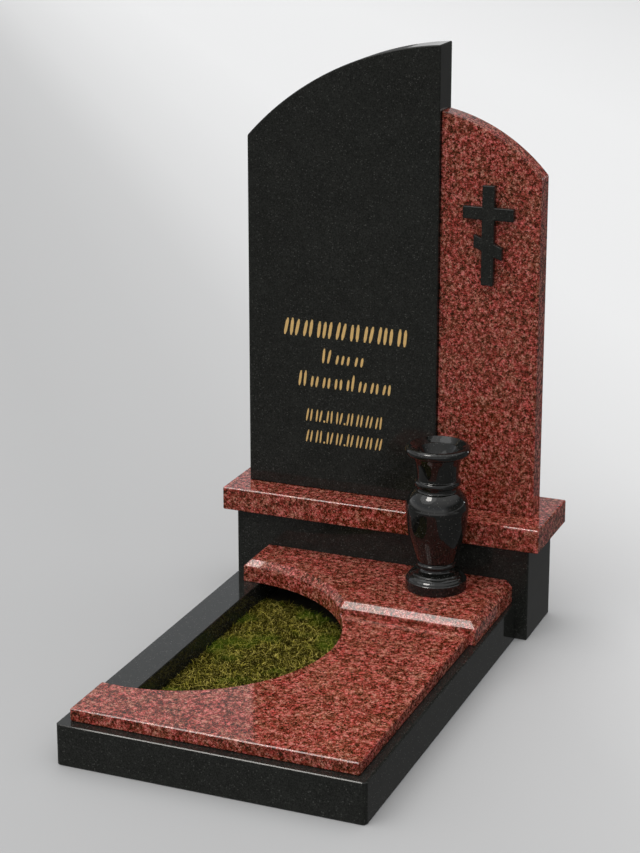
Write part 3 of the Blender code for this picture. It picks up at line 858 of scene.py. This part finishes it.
class HEADSTONE_OT_vase(bpy.types.Operator):
    """Turns the vase: its half section is drawn and spun about the axis"""
    bl_idname = "headstone.vase"
    bl_label = "Vase"

    # Steps of the turn, radius of the rim's roll, radius and floor of the bore, depth of the mouth's funnel
    TURN_STEPS = 112
    ROLL = 0.0093
    BORE = 0.022
    BORE_FLOOR = 0.1195
    FUNNEL = 0.040

    # A fold flatter than this belongs to a moulding, and is shaded smooth
    TURNED_FOLD = 28

    def execute(self, context):
        low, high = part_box("vase")
        axis = Vector(((low.x + high.x) / 2, (low.y + high.y) / 2, low.z))
        section = self.half_section(high.x - axis.x, high.z - low.z)
        vase = draw_path("turned_vase", [axis + Vector((r, 0.0, z)) for r, z in section])
        bpy.ops.mesh.select_all(action="SELECT")
        bpy.ops.mesh.spin(steps=self.TURN_STEPS, angle=2 * math.pi, center=axis, axis=(0, 0, 1))
        bpy.ops.mesh.select_all(action="SELECT")
        bpy.ops.mesh.remove_doubles(threshold=WELD)
        bpy.ops.mesh.normals_make_consistent(inside=False)
        bpy.ops.object.mode_set(mode="OBJECT")
        shade(vase, self.TURNED_FOLD)
        settle(vase, turned_black_granite(), "black_granite", "vase")
        return {"FINISHED"}

    def half_section(self, rim_radius, height):
        """(radius, height) points from the bore's floor, up inside, over the rim and down to the foot."""
        rim_centre = rim_radius - self.ROLL
        inside = [(0.0, self.BORE_FLOOR), (self.BORE - 0.001, self.BORE_FLOOR),
                  (self.BORE, self.BORE_FLOOR + 0.001), (self.BORE, height - self.FUNNEL)]
        funnel = smooth_through([
            (self.BORE, height - self.FUNNEL), (0.0315, height - 0.0275), (0.042, height - 0.010)], 6)
        dish = smooth_through([(0.0425, height - 0.0098), (0.050, height - 0.0045), (rim_centre, height)], 5)
        rim = [(rim_centre + self.ROLL * math.sin(a), height - self.ROLL + self.ROLL * math.cos(a))
               for a in [math.pi * i / 14 for i in range(15)]]
        neck = smooth_through([
            (0.0520, 0.2822), (0.0466, 0.2690), (0.0432, 0.2526), (0.0422, 0.2400), (0.0426, 0.2332)], 6)
        collar = self.half_round(0.0420, 0.0055, 0.22575, 0.0135, 12)
        groove = smooth_through([(0.0420, 0.2190), (0.0412, 0.2150), (0.0422, 0.2105), (0.0455, 0.2082)], 4)
        body = smooth_through([
            (0.0470, 0.2068), (0.0530, 0.2005), (0.0588, 0.1914), (0.0624, 0.1795), (0.0635, 0.1660),
            (0.0588, 0.1224), (0.0479, 0.0875), (0.0375, 0.0580)], 8)
        bead = self.half_round(0.0365, 0.0045, 0.0520, 0.0095, 10)
        cove = smooth_through([(0.0335, 0.0468), (0.0340, 0.0425), (0.0378, 0.0385), (0.0475, 0.0357)], 5)
        steps = [(0.0488, 0.0352), (0.0503, 0.0338), (0.0508, 0.0320),
                 (0.0535, 0.0306), (0.0556, 0.0290), (0.0563, 0.0270),
                 (0.0588, 0.0247), (0.0600, 0.0230), (0.0603, 0.0214),
                 (0.0612, 0.0209), (0.0620, 0.0200)]
        foot = [(0.0620, 0.0010), (0.0610, 0.0), (0.0, 0.0)]
        mouth = inside + funnel[1:] + dish + rim[1:]
        return mouth + neck + collar + groove + body + bead + cove + steps + foot

    def half_round(self, radius, depth, middle, height, steps):
        """A half-round moulding that stands proud of a radius, from its top down."""
        angles = [math.pi * i / steps for i in range(1, steps)]
        return [(radius + depth * math.sin(a), middle + height / 2 * math.cos(a)) for a in angles]


class HEADSTONE_OT_studio(bpy.types.Operator):
    """Lays the studio floor, hangs the soft lights and sets the camera"""
    bl_idname = "headstone.studio"
    bl_label = "Studio"

    def execute(self, context):
        scene = context.scene
        begin()
        # The paper lies a hair below the ground, so that no underside of a stone shares its plane
        bpy.ops.mesh.primitive_plane_add(size=800.0, location=(0.0, 10.0, -0.0002))
        floor = name_new("studio_floor")
        apply_place(floor)
        floor.data.materials.append(self.paper())
        # No light bounces from the paper to the stones: they see the dark lower half of the air instead
        floor.visible_glossy = False
        floor.visible_diffuse = False
        scene.world = self.air()

        # Key light high at the front left, a softbox so wide that its shadows melt into the floor
        self.sun("key", (-0.36, -0.31, 0.88), 0.50, 50.0)
        # A small warm lamp near it, seen only in the polish, draws the bright lines along the front arrises
        glint = self.sun("glint", (-0.315, -0.391, 0.865), 1.08, 18.0)
        glint.visible_diffuse = False
        glint.data.color = (1.0, 0.96, 0.91)
        # A narrow lamp at the back right, seen only in the polish too, draws upper edges of the right sides
        slit = self.sun("slit", (0.49, 0.86, 0.03), 0.36, 10.0)
        slit.visible_diffuse = False

        # Fitted to corners read off the photograph: it looks 15 degrees down and 22 degrees to the left
        camera = bpy.data.cameras.new("studio_camera")
        eye = bpy.data.objects.new("studio_camera", camera)
        scene.collection.objects.link(eye)
        camera.sensor_width = 36.0
        camera.sensor_fit = "AUTO"
        camera.lens = 89.3
        camera.shift_y = -0.13
        camera.clip_end = 900.0
        eye.location = (1.4640, -3.5552, 1.7732)
        eye.rotation_euler = (math.radians(90 - 15.01), 0.0, math.radians(22.33))
        scene.camera = eye
        scene.view_settings.view_transform = "Standard"
        return {"FINISHED"}

    def sun(self, name, towards, strength, spread):
        light = bpy.data.lights.new(name, "SUN")
        light.energy = strength
        light.angle = math.radians(spread)
        lamp = bpy.data.objects.new(name, light)
        bpy.context.scene.collection.objects.link(lamp)
        lamp.rotation_euler = Vector(towards).to_track_quat("Z", "Y").to_euler()
        return lamp

    def air(self):
        """Even studio light: a bright ceiling, duller walls with a pale band low down, and a dark floor."""
        world = bpy.data.worlds.new("studio_air")
        world.use_nodes = True
        way = add_node(world, "ShaderNodeTexCoord").outputs["Generated"]
        rise = add_node(world, "ShaderNodeSeparateXYZ", {"Vector": way})
        above = add_ramp(world, rise.outputs["Z"], [
            (0.0, grey(0.55)), (0.04, grey(0.60)), (0.10, grey(0.90)), (0.16, grey(0.82)),
            (0.35, (0.52, 0.54, 0.57)), (0.60, grey(0.56)), (1.0, grey(1.0))])
        # A dark flag stands at the back right, clear of the horizon and of the ceiling, so that the right
        # sides of the stones are darker than their fronts
        right = add_node(world, "ShaderNodeVectorMath", {0: way, 1: (0.85, 0.53, 0.0)},
                         operation="DOT_PRODUCT")
        flag = add_ramp(world, right.outputs["Value"],
                        [(0.20, grey(1.0)), (0.50, grey(0.30)), (0.75, grey(0.12))])
        flag_height = add_ramp(world, rise.outputs["Z"], [
            (0.03, grey(0.0)), (0.06, grey(1.0)), (0.38, grey(1.0)), (0.60, grey(0.0))])
        flagged = add_product(world, above, flag)
        above = add_node(world, "ShaderNodeMix", {"Factor": flag_height, "A": above, "B": flagged},
                         data_type="RGBA").outputs["Result"]
        # Below, the front left is a little lighter than the back right
        ahead = add_node(world, "ShaderNodeVectorMath", {0: way, 1: (-0.42, -0.84, 0.0)},
                         operation="DOT_PRODUCT")
        share = add_node(world, "ShaderNodeMapRange",
                         {"Value": ahead.outputs["Value"], "From Min": -1.0, "From Max": 1.0})
        below = add_ramp(world, share.outputs["Result"],
                         [(0.1, grey(0.10)), (0.5, grey(0.14)), (0.9, grey(0.17))])
        horizon = add_ramp(world, rise.outputs["Z"], [(0.0, grey(0.0)), (0.002, grey(1.0))])
        tones = add_node(world, "ShaderNodeMix", {"Factor": horizon, "A": below, "B": above},
                         data_type="RGBA")
        background = world.node_tree.nodes["Background"]
        world.node_tree.links.new(tones.outputs["Result"], background.inputs["Color"])
        # Strength of the whole air, against the suns
        background.inputs["Strength"].default_value = 1.19
        return world

    def paper(self):
        """Matt studio paper, pale grey in its own colour in front, with painted light that makes it nearly
        white behind on the right.
        """
        material, shader = start_material("studio_paper_painted_light")
        if shader is None:
            return material
        finish = bpy.context.scene.headstone_finish
        place = add_node(material, "ShaderNodeTexCoord").outputs["Object"]
        # The painted light changes along one level direction, from half a metre before the middle of the
        # stones
        start = -0.5
        end = 5.5
        along = add_node(material, "ShaderNodeVectorMath", {0: place, 1: (0.80, 0.60, 0.0)},
                         operation="DOT_PRODUCT")
        share = add_node(material, "ShaderNodeMapRange",
                         {"Value": along.outputs["Value"], "From Min": start, "From Max": end})
        # Metres along it, and how much of the paler painted light tone there is
        tones = [(-0.3, 0.0), (0.1, 0.10), (0.4, 0.24), (0.7, 0.56), (1.1, 0.80), (1.6, 0.97), (3.0, 1.0),
                 (4.3, 0.86), (5.5, 0.70)]
        near = Vector(finish.floor_near)
        painted_light_tone = Vector(finish.floor_painted_light)
        stops = [((metres - start) / (end - start), near.lerp(painted_light_tone, tone)) for metres, tone in tones]
        material.node_tree.links.new(add_ramp(material, share.outputs["Result"], stops),
                                     shader.inputs["Base Color"])
        shader.inputs["Roughness"].default_value = 0.9
        shader.inputs["Specular IOR Level"].default_value = 0.1
        return material


OPERATORS = (HEADSTONE_OT_kerb, HEADSTONE_OT_turf, HEADSTONE_OT_ledgers, HEADSTONE_OT_plinth,
             HEADSTONE_OT_steles, HEADSTONE_OT_inscription, HEADSTONE_OT_cross, HEADSTONE_OT_vase,
             HEADSTONE_OT_studio)


class HEADSTONE_PT_sidebar(bpy.types.Panel):
    """Lists the pieces of the headstone with their sizes and colours"""
    bl_idname = "HEADSTONE_PT_sidebar"
    bl_label = "Headstone"
    bl_space_type = "VIEW_3D"
    bl_region_type = "UI"
    bl_category = "Headstone"

    def draw(self, context):
        for group in (context.scene.headstone_sizes, context.scene.headstone_finish):
            box = self.layout.box()
            for name in group.__annotations__:
                box.prop(group, name)
        for operator in OPERATORS:
            self.layout.operator(operator.bl_idname)


CLASSES = (HeadstoneSizes, HeadstoneFinish, *OPERATORS, HEADSTONE_PT_sidebar)


def register():
    for cls in CLASSES:
        bpy.utils.register_class(cls)
    bpy.types.Scene.headstone_sizes = bpy.props.PointerProperty(type=HeadstoneSizes)
    bpy.types.Scene.headstone_finish = bpy.props.PointerProperty(type=HeadstoneFinish)


def unregister():
    del bpy.types.Scene.headstone_finish
    del bpy.types.Scene.headstone_sizes
    for cls in reversed(CLASSES):
        bpy.utils.unregister_class(cls)


def main():
    register()
    bpy.ops.headstone.kerb()
    bpy.ops.headstone.turf()
    bpy.ops.headstone.ledgers()
    bpy.ops.headstone.plinth()
    bpy.ops.headstone.steles()
    bpy.ops.headstone.inscription()
    bpy.ops.headstone.cross()
    bpy.ops.headstone.vase()
    bpy.ops.headstone.studio()


if __name__ == "__main__":
    main()
